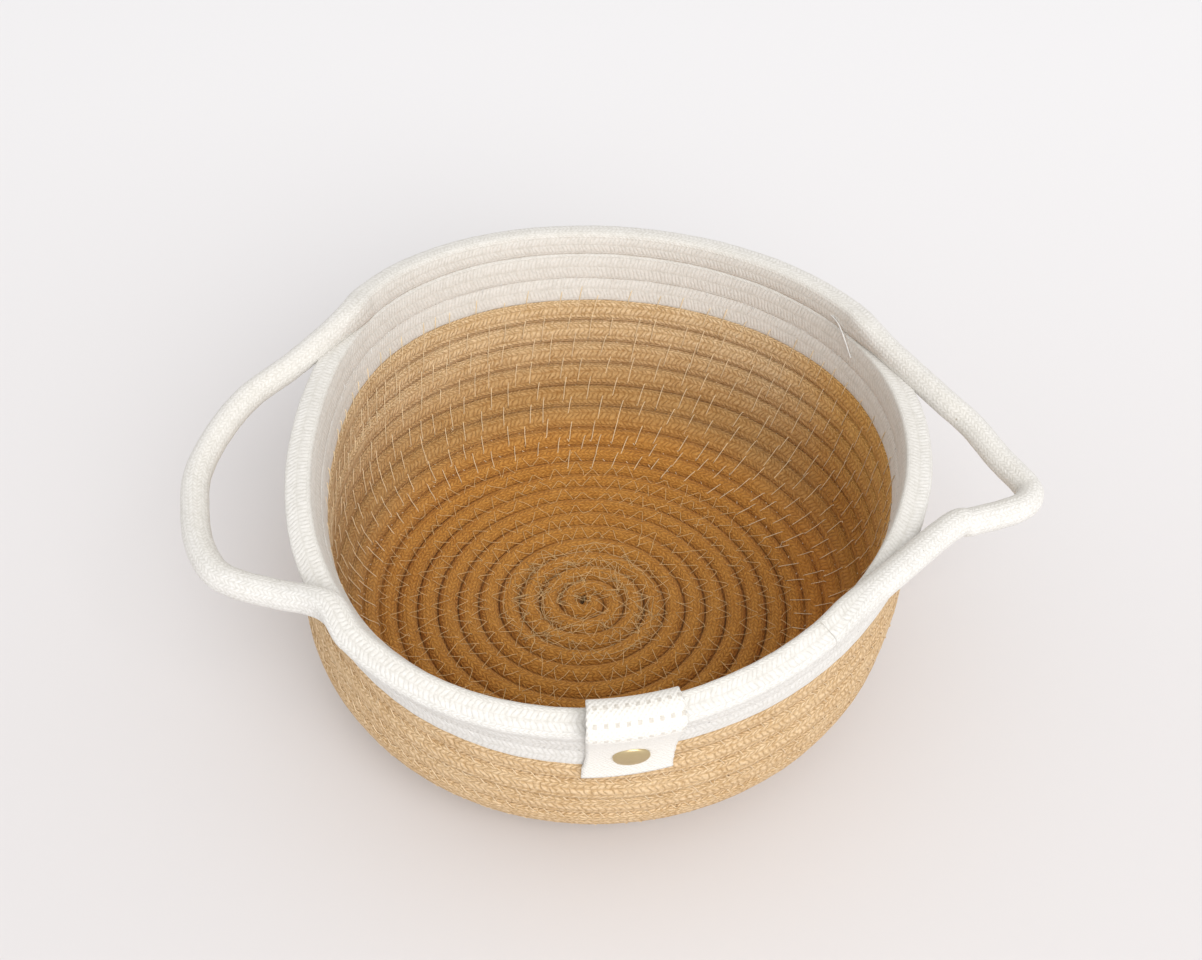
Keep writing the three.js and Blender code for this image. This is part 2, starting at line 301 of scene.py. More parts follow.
# columns of slanting strands that lean in turn left and right
def braidBody(tree, look, along, column, coords):
    slanted = mathNode(tree, "MULTIPLY", mathNode(tree, "PINGPONG", column, 1), look["slant"])
    waver = mathNode(tree, "MULTIPLY", noiseNode(tree, coords, *look["waverNoise"]), look["waver"])
    phase = mathNode(tree, "DIVIDE", along, look["strandLength"])
    phase = mathNode(tree, "ADD", mathNode(tree, "ADD", phase, slanted), waver)
    strands = ridges(tree, phase, look["strandSharpness"])
    return mathNode(tree, "MULTIPLY", strands, ridges(tree, column, look["columnSharpness"]))


# cotton with painted shade between its strands, mottled, patchy, flecked and covered with lint
def cottonColour(tree, look, body, coords):
    colour = mixColour(tree, body, look["creaseShade"], look["colour"])
    mottle = rampNode(tree, noiseNode(tree, coords, *look["mottleNoise"]), *look["mottleRange"])
    colour = mixColour(tree, mottle, mixColour(tree, 1.0, colour, look["mottle"], "MULTIPLY"), colour)
    patch = rampNode(tree, noiseNode(tree, coords, *look["patchNoise"]), *look["patchRange"])
    patched = mixColour(tree, look["patch"], colour, look["patchColour"])
    colour = mixColour(tree, patch, colour, patched)
    fleck = rampNode(tree, noiseNode(tree, coords, *look["fleckNoise"]), *look["fleckRange"])
    colour = mixColour(tree, fleck, colour, look["fleckColour"])
    lint = rampNode(tree, noiseNode(tree, coords, *look["lintNoise"]), *look["lintRange"])
    return mixColour(tree, mathNode(tree, "MULTIPLY", lint, look["lint"]), colour, look["lintColour"])


# painted shade on the inside: darker and deeper in colour towards the base, and darker still on the right
# side, which lies in shade
def paintedInsideShade(tree, look, coords):
    place = splitNode(tree, coords)
    low, middle, high = (height * mm for height in look["paintedShadeHeights"])
    shadeFrom, shadeTo = (reach * mm for reach in look["shadeRange"])
    overBase = rampNode(tree, place["Z"], low, middle)
    overMiddle = rampNode(tree, place["Z"], middle, high)
    shadeColour = mixColour(tree, overBase, look["paintedDeepShade"], look["paintedMiddleShade"])
    shadeColour = mixColour(tree, overMiddle, shadeColour, look["paintedHighShade"])
    shaded = mixColour(tree, 1.0, shadeColour, look["shadeTint"], "MULTIPLY")
    return mixColour(tree, rampNode(tree, place["X"], shadeFrom, shadeTo), shadeColour, shaded)


def braidMaterial(name, look):
    material, tree, shader = newMaterial(name)
    coords = objectCoords(tree)
    ropePlace = mapNode(tree, "ropeMap")
    column = mathNode(tree, "MULTIPLY", ropePlace["Y"], look["columns"])
    body = braidBody(tree, look, ropePlace["X"], column, coords)
    fibre = noiseNode(tree, coords, *look["fibreNoise"])
    height = mathNode(tree, "ADD", body, mathNode(tree, "MULTIPLY", fibre, look["fibre"]))
    bumpNode(tree, shader, height, look["bump"], look["relief"])
    colour = cottonColour(tree, look, body, coords)
    # the rope's inside face is painted with shade, so the inside of the basket is darker than the outside
    insideShaded = mixColour(tree, 1.0, colour, paintedInsideShade(tree, look, coords), "MULTIPLY")
    facing = mathNode(tree, "SINE", mathNode(tree, "MULTIPLY", ropePlace["Y"], 2 * math.pi))
    colour = mixColour(tree, rampNode(tree, facing, *look["insideRange"]), colour, insideShaded)
    tree.links.new(colour, shader.inputs["Base Color"])
    shader.inputs["Roughness"].default_value = look["roughness"]
    shader.inputs["Specular IOR Level"].default_value = look["specular"]
    shader.inputs["Sheen Weight"].default_value = look["sheen"]
    shader.inputs["Sheen Roughness"].default_value = look["sheenRoughness"]
    return material


tanLook = {
    "columns": 18,
    "strandLength": 1.9,
    "slant": 0.9,
    "waver": 1.6,
    "waverNoise": (420, 3, 0.5),
    "strandSharpness": 0.6,
    "columnSharpness": 0.35,
    "fibre": 1.1,
    "fibreNoise": (1500, 4, 0.65),
    "bump": 0.85,
    "relief": 0.45,
    "colour": (0.79, 0.585, 0.36),
    # painted shade between the strands
    "creaseShade": (0.54, 0.34, 0.16),
    # painted shade inside the basket, by height and on the shaded right side
    "paintedShadeHeights": (7.5, 21, 53),
    "paintedDeepShade": (0.79, 0.515, 0.185),
    "paintedMiddleShade": (0.70, 0.57, 0.37),
    "paintedHighShade": (1, 1, 0.98),
    "shadeRange": (55, 85),
    "shadeTint": (0.94, 0.74, 0.38),
    "insideRange": (-0.5, 0.5),
    "mottle": (0.80, 0.73, 0.62),
    "mottleNoise": (850, 2, 0.6),
    "mottleRange": (0.36, 0.64),
    "patch": 0.2,
    "patchColour": (0.82, 0.63, 0.40),
    "patchNoise": (90, 3, 0.5),
    "patchRange": (0.3, 0.7),
    "fleckColour": (0.30, 0.17, 0.07),
    "fleckNoise": (420, 2, 0.4),
    "fleckRange": (0.8, 0.85),
    "lint": 0.45,
    "lintColour": (0.86, 0.72, 0.50),
    "lintNoise": (900, 3, 0.6),
    "lintRange": (0.6, 0.75),
    "roughness": 0.95,
    "specular": 0.1,
    "sheen": 0.06,
    "sheenRoughness": 0.6,
}
whiteLook = {
    **tanLook,
    "columns": 20,
    "strandLength": 1.5,
    "waver": 1.1,
    "bump": 0.5,
    "relief": 0.3,
    "colour": (0.785, 0.77, 0.745),
    # painted shade between the strands
    "creaseShade": (0.68, 0.66, 0.62),
    # the white rope's painted inside shade is slight and even
    "paintedDeepShade": (0.98, 0.97, 0.95),
    "paintedMiddleShade": (0.98, 0.97, 0.95),
    "paintedHighShade": (0.98, 0.97, 0.95),
    "shadeTint": (1, 1, 1),
    "mottle": (0.90, 0.895, 0.88),
    "patchColour": (0.82, 0.805, 0.78),
    "fleckColour": (0.45, 0.40, 0.34),
    "fleckRange": (0.77, 0.82),
    "lintColour": (0.88, 0.87, 0.85),
}
tanRope = braidMaterial("tanBraid", tanLook)
whiteRope = braidMaterial("whiteBraid", whiteLook)

threadLook = {"noise": (300, 2, 0.5), "toneRange": (0.3, 0.7), "darker": 0.8, "roughness": 0.6}


def threadMaterial(name, colour):
    material, tree, shader = newMaterial(name)
    noise = noiseNode(tree, objectCoords(tree), *threadLook["noise"])
    tone = rampNode(tree, noise, *threadLook["toneRange"])
    darker = tuple(channel * threadLook["darker"] for channel in colour)
    tree.links.new(mixColour(tree, tone, darker, colour), shader.inputs["Base Color"])
    shader.inputs["Roughness"].default_value = threadLook["roughness"]
    return material


tanThread = threadMaterial("tanThread", (0.88, 0.70, 0.45))
# the base's thread is the wall's thread painted darker and deeper in colour, as painted shade on the base
shadedBaseThread = threadMaterial("shadedBaseThread", (0.80, 0.55, 0.26))
sunkThread = threadMaterial("sunkThread", (0.84, 0.65, 0.42))
whiteThread = threadMaterial("whiteThread", (0.80, 0.785, 0.76))
print("materials ready")


# the label's tape, whose fold presses flat the rope that ends under it
label = {
    "width": 23.5,
    "thickness": 1.3,
    "clearance": 0.3,
    "bendRadius": 106,  # of the wall behind it
    "rivetRow": 6.5,
    "belowRivet": 13.3,
    "acrossSteps": 24,
    "alongSteps": 90,
    "pressed": 4,  # what is left of the rope's height
    "pressedRows": 0.1,
    "skew": 2.2,  # how much higher the outer end's right corner is
    "wobble": 0.18,
    "wobbleWaves": (1.9, 0.71),
    "frayed": 1.3,  # how far the outer end's left corner spreads
    "frayedShare": 0.4,
}

# the wound ropes: round in the base, squarish where they press on each other in the wall
rope = {
    "sides": 24,
    "step": 1.4,
    "lumps": 0.012,
    "lumpWave": 0.21,
    "lumpSway": (1.3, 0.037),
    "lumpTwist": 0.05,
    "quickLumps": 0.006,
    "quickWave": 0.83,
    "quickTwists": 2,
    "startRadius": 0.3,
    "splitRow": -3,
    "upperFromRow": 1.5,
    "squareFromRow": -2.5,
    "squareRows": 3,
    "baseSquareness": 2.3,
    "wallSquareness": 3.8,
    "bandSquareness": 9,
    "rimSquareness": 4.5,
    "pressedTogether": 0.05,
    "bandTogether": 0.15,
    "rimChangeRows": 0.3,
    "proud": 0.3,
    "bandProud": 0.12,
    "proudWaves": (2.6, 0.7, 11),
    "proudFromRow": -3,
    "proudRows": 2,
    "tuck": 3,
    "tuckedSize": 0.93,
}


def ropeRelief(length, turn):
    sway, swayWave = rope["lumpSway"]
    slow = np.sin(length * rope["lumpWave"] + sway * np.sin(length * swayWave))
    slow = slow * np.cos(turn + length * rope["lumpTwist"])
    quick = np.sin(length * rope["quickWave"] + rope["quickTwists"] * turn)
    return 1 + rope["lumps"] * slow + rope["quickLumps"] * quick


# how far each row stands proud of its neighbours, which wanders along the rope
def proudAt(row):
    perRow, sway, swayPerRow = rope["proudWaves"]
    proud = np.where(row > wall["tanRows"], rope["bandProud"], rope["proud"])
    proud = proud * np.sin(row * perRow + sway * np.sin(row * swayPerRow))
    return proud * ease(row, rope["proudFromRow"], rope["proudRows"]) * ease(rimRow - row, 0, 1)


def squarenessAt(row):
    onWall = ease(row, rope["squareFromRow"], rope["squareRows"])
    square = rope["baseSquareness"] + (rope["wallSquareness"] - rope["baseSquareness"]) * onWall
    square = np.where(row > wall["tanRows"], rope["bandSquareness"], square)
    rimChange = ease(row, rimRow - rope["rimChangeRows"], rope["rimChangeRows"])
    return square + (rope["rimSquareness"] - square) * rimChange


# half the rope's width up the wall: neighbours overlap a little, and the white ones more
def halfPitchAt(row):
    inBand = np.where(row > wall["tanRows"], ease(rimRow - row, 0, rope["rimChangeRows"]), 0)
    together = rope["pressedTogether"] + (rope["bandTogether"] - rope["pressedTogether"]) * inBand
    onWall = ease(row, rope["squareFromRow"], rope["squareRows"])
    return pitchAt(row) / 2 * (1 + together * onWall)


# a rope of the rim runs on for a tuck, slimmer, inside the handle that it follows or that follows it
def woundRope(name, fromRow, toRow, material, node, startLength=0, tuckBefore=0, tuckAfter=0):
    turnLength = 2 * math.pi * (wall["spiralRadius"] + wall["basePitch"] * min(toRow, 0))
    row = np.linspace(fromRow, toRow, int((toRow - fromRow) * turnLength / rope["step"]))
    if tuckBefore:
        row = np.append(fromRow - tuckBefore / turnLength, row)
    if tuckAfter:
        row = np.append(row, toRow + tuckAfter / turnLength)
    slimmer = np.where((row < fromRow) | (row > toRow), rope["tuckedSize"], 1)
    centre, climb, inward = wallFrames(row, rowAngle(row))
    underLabel = ease(row, topRow - label["pressedRows"], label["pressedRows"])
    pressed = underLabel * (wall["wallPitch"] - label["pressed"]) / 2
    centre = centre - climb * pressed[:, None] + inward * proudAt(row)[:, None]
    halfAcross = (halfPitchAt(row) - pressed) * slimmer
    piece, length = tube(
        name, centre, climb, inward, halfAcross, ropeRadius * slimmer, rope["sides"],
        startLength - tuckBefore, ropeRelief, 0, squarenessAt(row),
    )
    slotName = "tan_cotton" if material is tanRope else "white_cotton"
    dress(piece, material, "basket", slotName, node)
    return length - tuckAfter


startRow = (rope["startRadius"] - wall["spiralRadius"]) / wall["basePitch"]
lengthSoFar = woundRope("baseRope", startRow, rope["splitRow"], tanRope, "tan_rope_base")
lengthSoFar = woundRope(
    "lowerWallRope", rope["splitRow"], rope["upperFromRow"], tanRope, "tan_rope_wall", lengthSoFar,
)
woundRope("upperWallRope", rope["upperFromRow"], wall["tanRows"], tanRope, "tan_rope_wall", lengthSoFar)
print("tan rope wound")


# handles: angles round the basket in degrees, and a loop given as points from the back hinge to the
# front one, as [share of the hinge line, reach out from it]
handle = {
    "standOff": 10,
    "rise": -4,
    "droop": 5,
    "sides": 28,
    "step": 0.8,
    "rimStep": 7.5,
    "rootShare": 0.12,
    "blendReach": 5,
}
leftLoop = {
    "leaveBack": 149,
    "hingeBack": 164.6,
    "hingeFront": -141,
    "leaveFront": -133,
    "windsFromFront": True,
    "loop": [(0.12, 13), (0.27, 22), (0.43, 26.8), (0.57, 26.7), (0.74, 24), (0.875, 18.5), (0.945, 11)],
}
rightLoop = {
    "leaveBack": 28,
    "hingeBack": 10.6,
    "hingeFront": -22,
    "leaveFront": -46,
    "windsFromFront": False,
    "loop": [(0.16, 10), (0.36, 18.5), (0.54, 25.7), (0.63, 26.3), (0.72, 23.3), (0.81, 16), (0.9, 7.5)],
}
curveSteps = 24  # steps between two points of a smooth route


def rimFrame(angleDegrees):
    row = np.array([rowAt(angleDegrees, rimRow)])
    centre, climb, inward = wallFrames(row, np.array([math.radians(angleDegrees)]))
    return centre[0], climb[0], inward[0]


def rimPoints(angleDegrees, counts):
    return [rimFrame(angleDegrees + handle["rimStep"] * count)[0] for count in counts]


def hingePoint(angleDegrees):
    angle = math.radians(angleDegrees)
    outward = np.array([math.cos(angle), math.sin(angle), 0])
    return rimFrame(angleDegrees)[0] + outward * handle["standOff"] + up * handle["rise"]


# a smooth curve in even steps through the points, apart from the first and last, which steer it
def smoothRoute(points, step):
    points = np.array(points)
    path = []
    for place in range(1, len(points) - 2):
        before, here, there, after = points[place - 1:place + 3]
        for share in np.linspace(0, 1, curveSteps, endpoint=False):
            path.append(0.5 * (
                2 * here + (there - before) * share
                + (2 * before - 5 * here + 4 * there - after) * share ** 2
                + (3 * here - before - 3 * there + after) * share ** 3
            ))
    path = np.array(path + [points[-2]])
    length = np.concatenate([[0], np.cumsum(np.linalg.norm(np.diff(path, axis=0), axis=1))])
    even = np.linspace(0, length[-1], int(length[-1] / step))
    return np.stack([np.interp(even, length, path[:, axis]) for axis in range(3)], -1)


# the rope winds clockwise, so a handle comes off the rim at one end and joins it at the other
def handleRope(name, node, side, startLength):
    back, front = hingePoint(side["hingeBack"]), hingePoint(side["hingeFront"])
    along = front - back
    out = unit(np.cross(along, up))
    out = out if out @ (back - wallCentre) > 0 else -out
    loop = [
        back + along * share + out * reach - up * handle["droop"] * math.sin(math.pi * share)
        for share, reach in side["loop"]
    ]
    bent = [back, *loop, front]
    leaves, joins = side["leaveBack"], side["leaveFront"]
    if side["windsFromFront"]:
        bent.reverse()
        leaves, joins = joins, leaves
    points = [*rimPoints(leaves, (2, 1, 0)), *bent, *rimPoints(joins, (0, -1, -2))]
    centre = smoothRoute(points, handle["step"])
    travel = unit(np.gradient(centre, axis=0))
    share = np.linspace(0, 1, len(centre))
    start = ease(share, 0, handle["rootShare"])
    end = ease(share, 1 - handle["rootShare"], handle["rootShare"])
    free = start - end
    leaveClimb = rimFrame(leaves + handle["rimStep"])[1]
    joinClimb = rimFrame(joins - handle["rimStep"])[1]
    across = leaveClimb * (1 - start)[:, None] + joinClimb * end[:, None] + up * free[:, None]
    across = unit(across - travel * np.sum(across * travel, axis=1, keepdims=True))
    through = np.cross(travel, across)
    halfOnRim = wall["wallPitch"] / 2 * (1 + rope["pressedTogether"])
    halfAcross = halfOnRim + (ropeRadius - halfOnRim) * free
    square = roundSection + (rope["rimSquareness"] - roundSection) * (1 - free)
    piece, length = tube(
        name, centre, across, through, halfAcross, ropeRadius, handle["sides"], startLength,
        ropeRelief, None, square,
    )
    dress(piece, whiteRope, None, "white_cotton", node)
    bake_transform(piece)
    return length


bandTo = rowAt(leftLoop["leaveFront"] + handle["rimStep"], rimRow)
backFrom = rowAt(leftLoop["leaveBack"] - handle["rimStep"], rimRow)
backTo = rowAt(rightLoop["leaveBack"] + handle["rimStep"], rimRow)
frontFrom = rowAt(rightLoop["leaveFront"] - handle["rimStep"], rimRow)
tuck = rope["tuck"]
lengthSoFar = woundRope(
    "whiteBand", wall["tanRows"], bandTo, whiteRope, "white_rope_band", tuckAfter=tuck,
)
lengthSoFar = handleRope("handleLeft", "handle_left", leftLoop, lengthSoFar)
lengthSoFar = woundRope("rimBack", backFrom, backTo, whiteRope, "rim_rope_back", lengthSoFar, tuck, tuck)
lengthSoFar = handleRope("handleRight", "handle_right", rightLoop, lengthSoFar)
woundRope("rimFront", frontFrom, topRow, whiteRope, "rim_rope_front", lengthSoFar, tuck)
print("white rope and handles made")


# seams: one thread crosses each groove again and again. A stitch is a list of points, each
# [millimetres along the rope, rows across the groove, height above the middle of the rope]
baseStitch = {
    "period": 6.6,
    "radius": 0.12,
    "points": [
        (0, -0.42, 3.7), (0.6, -0.3, 4.2), (1.7, 0, 3.95), (2.8, 0.3, 4.2),
        (3.4, 0.42, 3.7), (4.0, 0.3, 4.2), (5.0, 0, 3.95), (6.0, -0.3, 4.2),
    ],
}
wallStitch = {
    "period": 8.2,
    "radius": 0.17,
    "points": [
        (0, -0.72, 3.9), (0.3, -0.58, 4.3), (1.0, 0, 4.3), (1.6, 0.36, 4.3),
        (1.8, 0.46, 3.9), (3.2, 0.3, 2.8), (6.8, -0.3, 2.8),
    ],
}
rimStitch = {
    "period": 5.2,
    "radius": 0.14,
    "points": [(0, -0.3, 3.6), (0.6, 0, 4.1), (1.2, 0.3, 3.6), (2.4, 0.2, 2.8), (4.2, -0.2, 2.8)],
}
outerStitch = {
    "period": 4.4,
    "radius": 0.15,
    "points": [
        (0, -0.2, 3.6), (0.7, -0.1, 4.05), (1.5, 0.1, 4.05),
        (2.2, 0.2, 3.6), (3.0, 0.1, 3.0), (3.8, -0.1, 3.0),
    ],
}
thread = {
    "sides": 4,
    "uneven": 0.4,
    "wander": 0.16,
    "widthChange": (-0.3, 0.2),
    "liftChange": (-0.1, 0.15),
    "leastRadius": 5,
}
random = np.random.default_rng(7)


# millimetres round the basket along the groove outside a row
def roundLength(row):
    radius = wall["spiralRadius"] + wall["basePitch"] * np.minimum(np.asarray(row) + 0.5, 0)
    return 2 * math.pi * np.maximum(thread["leastRadius"], radius)


def threadAlong(name, centre, facing, radius, sides):
    travel = unit(np.gradient(centre, axis=0))
    sideways = unit(np.cross(travel, facing))
    lifted = np.cross(sideways, travel)
    piece, _ = tube(name, centre, sideways, lifted, radius, radius, sides)
    return piece


# the face is 1 for a seam inside the basket and -1 for one outside
def stitchedSeam(name, fromRow, toRow, face, stitch, material, slotName, loose=1.0):
    starts = []
    row = fromRow
    while row < toRow:
        starts.append(row)
        stretch = random.uniform(1 - thread["uneven"], 1 + thread["uneven"])
        row += stitch["period"] * stretch / roundLength(row)
    starts = np.array(starts)
    points = np.array(stitch["points"])
    perRow = 1 / roundLength(starts)
    along = (starts[:, None] + points[:, 0] * perRow[:, None]).ravel()
    across = points[:, 1] * (1 + loose * random.uniform(*thread["widthChange"], (len(starts), 1)))
    across = (across + loose * random.uniform(-1, 1, (len(starts), 1)) * thread["wander"]).ravel()
    lift = np.tile(points[:, 2], len(starts))
    lift = lift + loose * random.uniform(*thread["liftChange"], len(along))
    centre, _, inward = wallFrames(along + 0.5 + across, rowAngle(along))
    centre = centre + inward * (face * lift)[:, None]
    centre[:, 2] = np.maximum(centre[:, 2], stitch["radius"])
    piece = threadAlong(name, centre, inward, stitch["radius"], thread["sides"])
    dress(piece, material, "basket", slotName)


# loose thread ends sewn round and round over the middle of the base
tangle = {
    "lift": 4.15,
    "radius": 0.1,
    "advance": (-0.25, 1),
    "drift": 0.35,
    "startDrift": (0, 6),
    "uneven": 0.15,
    "liftChange": (-0.35, 0.2),
}
innerTangle = {"threads": 3, "points": 60, "reach": 11, "least": 0.1, "turn": 0.6}
outerTangle = {"threads": 4, "points": 105, "reach": 30, "least": 0.45, "turn": 0.42}


def threadTangle(name, lay):
    rounds = []
    for _ in range(lay["threads"]):
        angle = np.cumsum(random.uniform(*tangle["advance"], lay["points"])) * lay["turn"]
        drift = np.cumsum(random.normal(0, tangle["drift"], lay["points"]))
        share = 0.5 + 0.5 * np.sin(drift + random.uniform(*tangle["startDrift"]))
        radius = lay["reach"] * (lay["least"] + (1 - lay["least"]) * share)
        uneven = tangle["uneven"] * random.uniform(-1, 1, lay["points"])
        radius = radius * (1 - tangle["uneven"] + uneven)
        rounds.append(np.stack([radius * np.cos(angle), radius * np.sin(angle)], -1))
    flat = np.concatenate(rounds)
    height = tangle["lift"] + baseHeight + random.uniform(*tangle["liftChange"], len(flat))
    centre = np.column_stack([flat, height]) + wallCentre
    piece = threadAlong(name, centre, up, tangle["radius"], thread["sides"])
    dress(piece, shadedBaseThread, "basket", "tan_cotton")


seams = {"startRows": 0.3, "bendRow": -2.5, "outerFromRow": -1.5, "baseLoose": 1.5}
lastTanRow = wall["tanRows"] - 1
stitchedSeam(
    "baseSeam", startRow + seams["startRows"], seams["bendRow"], 1, baseStitch, shadedBaseThread,
    "tan_cotton", seams["baseLoose"],
)
threadTangle("centreTangle", innerTangle)
threadTangle("ringTangle", outerTangle)
stitchedSeam("wallSeam", seams["bendRow"], wall["tanRows"], 1, wallStitch, tanThread, "tan_cotton")
stitchedSeam("outerSeam", seams["outerFromRow"], lastTanRow, -1, outerStitch, sunkThread, "tan_cotton")
stitchedSeam("rimSeam", wall["tanRows"], rimRow - 1, 1, rimStitch, whiteThread, "white_cotton")
stitchedSeam("outerRimSeam", wall["tanRows"], rimRow - 1, -1, outerStitch, whiteThread, "white_cotton")


# one end of thread hangs loose inside the right handle's back root, as [degrees round, rows
# below the rim rope's middle, height above the rope's middle]
looseEnd = {
    "radius": 0.26,
    "sides": 6,
    "step": 0.5,
    "points": [(38, 0.1, 4.4), (35.5, 0.2, 4.7), (33, 0.5, 5.1), (31.2, 0.85, 4.9), (30, 1.15, 4.4)],
}


def looseThread():
    points = []
    for angleDegrees, below, lift in looseEnd["points"]:
        row = np.array([rowAt(angleDegrees, rimRow) - below])
        centre, _, inward = wallFrames(row, np.array([math.radians(angleDegrees)]))
        points.append(centre[0] + inward[0] * lift)
    route = smoothRoute([points[0], *points, points[-1]], looseEnd["step"])
    piece = threadAlong("looseThread", route, up, looseEnd["radius"], looseEnd["sides"])
    dress(piece, whiteThread, "basket", "white_cotton")


looseThread()
print("seams sewn")


# label: one strip of woven tape folded over the rim. Its dimples are painted as dark spots of shade, in
# rows across it, as [millimetres from the outer end, strength]
tapeLook = {
    "warpWidth": 0.7,
    "weftWidth": 0.85,
    "stray": 1.8,
    "strayNoise": (500, 3, 0.5),
    "fibre": 2,
    "fibreNoise": (1400, 4, 0.6),
    "bump": 0.5,
    "relief": 0.2,
    "toneRange": (-0.5, 0.9),
    "darkColour": (0.73, 0.70, 0.64),
    "lightColour": (0.82, 0.795, 0.75),
    "dimpleRows": [(44, 0.5), (39.5, 0.5), (35, 0.4), (30.5, 0.2)],
    "dimpleHalfHeight": 0.6,
    "dimpleSpacing": 2.6,
    "dimpleFrom": 0.3,
    "dimpleShadeColour": (0.44, 0.39, 0.32),
    "roughness": 0.9,
    "sheen": 0.2,
}


def tapeDimples(tree, look, tapePlace):
    waves = 2 * math.pi / look["dimpleSpacing"]
    beat = mathNode(tree, "SINE", mathNode(tree, "MULTIPLY", tapePlace["X"], waves))
    between = mathNode(tree, "GREATER_THAN", beat, look["dimpleFrom"])
    dimples = 0
    for row, strength in look["dimpleRows"]:
        offset = mathNode(tree, "ABSOLUTE", mathNode(tree, "SUBTRACT", tapePlace["Y"], row))
        near = mathNode(tree, "LESS_THAN", offset, look["dimpleHalfHeight"])
        dimple = mathNode(tree, "MULTIPLY", mathNode(tree, "MULTIPLY", near, between), strength)
        dimples = mathNode(tree, "ADD", dimples, dimple)
    return dimples


def tapeMaterial(look):
    material, tree, shader = newMaterial("wovenTape")
    coords = objectCoords(tree)
    tapePlace = mapNode(tree, "tapeMap")
    stray = mathNode(tree, "MULTIPLY", noiseNode(tree, coords, *look["strayNoise"]), look["stray"])
    across = mathNode(tree, "ADD", tapePlace["X"], stray)
    down = mathNode(tree, "ADD", tapePlace["Y"], stray)
    warp = mathNode(tree, "SINE", mathNode(tree, "MULTIPLY", across, math.pi / look["warpWidth"]))
    weft = mathNode(tree, "SINE", mathNode(tree, "MULTIPLY", down, math.pi / look["weftWidth"]))
    weave = mathNode(tree, "MULTIPLY", warp, weft)
    fibre = noiseNode(tree, coords, *look["fibreNoise"])
    height = mathNode(tree, "ADD", weave, mathNode(tree, "MULTIPLY", fibre, look["fibre"]))
    bumpNode(tree, shader, height, look["bump"], look["relief"])
    tone = rampNode(tree, mathNode(tree, "ADD", weave, fibre), *look["toneRange"])
    colour = mixColour(tree, tone, look["darkColour"], look["lightColour"])
    # painted shade in the dimples: dark spots, with no hollows in the shape
    dimples = tapeDimples(tree, look, tapePlace)
    colour = mixColour(tree, dimples, colour, look["dimpleShadeColour"])
    tree.links.new(colour, shader.inputs["Base Color"])
    shader.inputs["Roughness"].default_value = look["roughness"]
    shader.inputs["Sheen Weight"].default_value = look["sheen"]
    return material


# the tape runs from its outer end up the wall, over the rim and down inside
def makeLabel():
    mesh, flat = flatGrid("foldedLabel", label["acrossSteps"], label["alongSteps"])
    lift = ropeRadius + label["clearance"] + label["thickness"] / 2
    foldRow = topRow - (wall["wallPitch"] - label["pressed"]) / 2 / wall["wallPitch"]
    lowRow = label["rivetRow"] - label["belowRivet"] / wall["wallPitch"]
    leg = (foldRow - lowRow) * wall["wallPitch"]
    overRim = math.pi * lift
    travelled = (flat[:, 1] + 1) / 2 * (2 * leg + overRim)
    fold = np.clip((travelled - leg) / overRim, 0, 1) * math.pi
    below = np.where(travelled < leg, leg - travelled, np.maximum(0, travelled - leg - overRim))
    outer = np.clip(1 - travelled / leg, 0, 1)
    cornerRise = outer * (flat[:, 0] + 1) / 2 * label["skew"]
    row = foldRow - (below - cornerRise) / wall["wallPitch"]
    longWave, crossWave = label["wobbleWaves"]
    wobble = np.sin(travelled * longWave) * np.sin(travelled * crossWave + flat[:, 0])
    sideways = flat[:, 0] * (label["width"] / 2 + label["wobble"] * wobble)
    frayed = ease(outer, 1 - label["frayedShare"], label["frayedShare"]) * label["frayed"]
    sideways = sideways - frayed * np.clip(-flat[:, 0], 0, 1) ** 2
    angle = math.radians(wall["labelAngle"]) + sideways / label["bendRadius"]
    centre, climb, inward = wallFrames(row, angle)
    normal = -inward * np.cos(fold)[:, None] + climb * np.sin(fold)[:, None]
    bendGrid(mesh, centre + normal * lift, "tapeMap", sideways, travelled)
    bm = bmesh.new()
    bm.from_mesh(mesh)
    bmesh.ops.recalc_face_normals(bm, faces=bm.faces)
    for face in bm.faces:
        face.smooth = True
    bm.to_mesh(mesh)
    bm.free()
    piece = addObject("foldedLabel", mesh)
    thick = piece.modifiers.new("thickness", "SOLIDIFY")
    thick.thickness = label["thickness"] * mm
    thick.offset = 0
    dress(piece, tapeMaterial(tapeLook), "basket", "tape_cotton", "label_tape")


makeLabel()
print("label folded")


# rivet: a low brass dome over the label, and the frame's own stud behind it
rivet = {"capRadius": 5.1, "capHeight": 1.5, "edge": 0.45, "domeSteps": 4, "segments": 64, "weld": 1e-4}
brassLook = {
    "colour": (0.60, 0.485, 0.28),
    "noise": (700, 3, 0.5),
    "noiseRange": (0.2, 0.8),
    "leastRoughness": 0.36,
    "addedRoughness": 0.12,
}


def brassMaterial(look):
    material, tree, shader = newMaterial("paleBrass")
    noise = noiseNode(tree, objectCoords(tree), *look["noise"])
    added = mathNode(tree, "MULTIPLY", rampNode(tree, noise, *look["noiseRange"]), look["addedRoughness"])
    roughness = mathNode(tree, "ADD", added, look["leastRoughness"])
    tree.links.new(roughness, shader.inputs["Roughness"])
    shader.inputs["Base Color"].default_value = (*look["colour"], 1)
    shader.inputs["Metallic"].default_value = 1
    return material


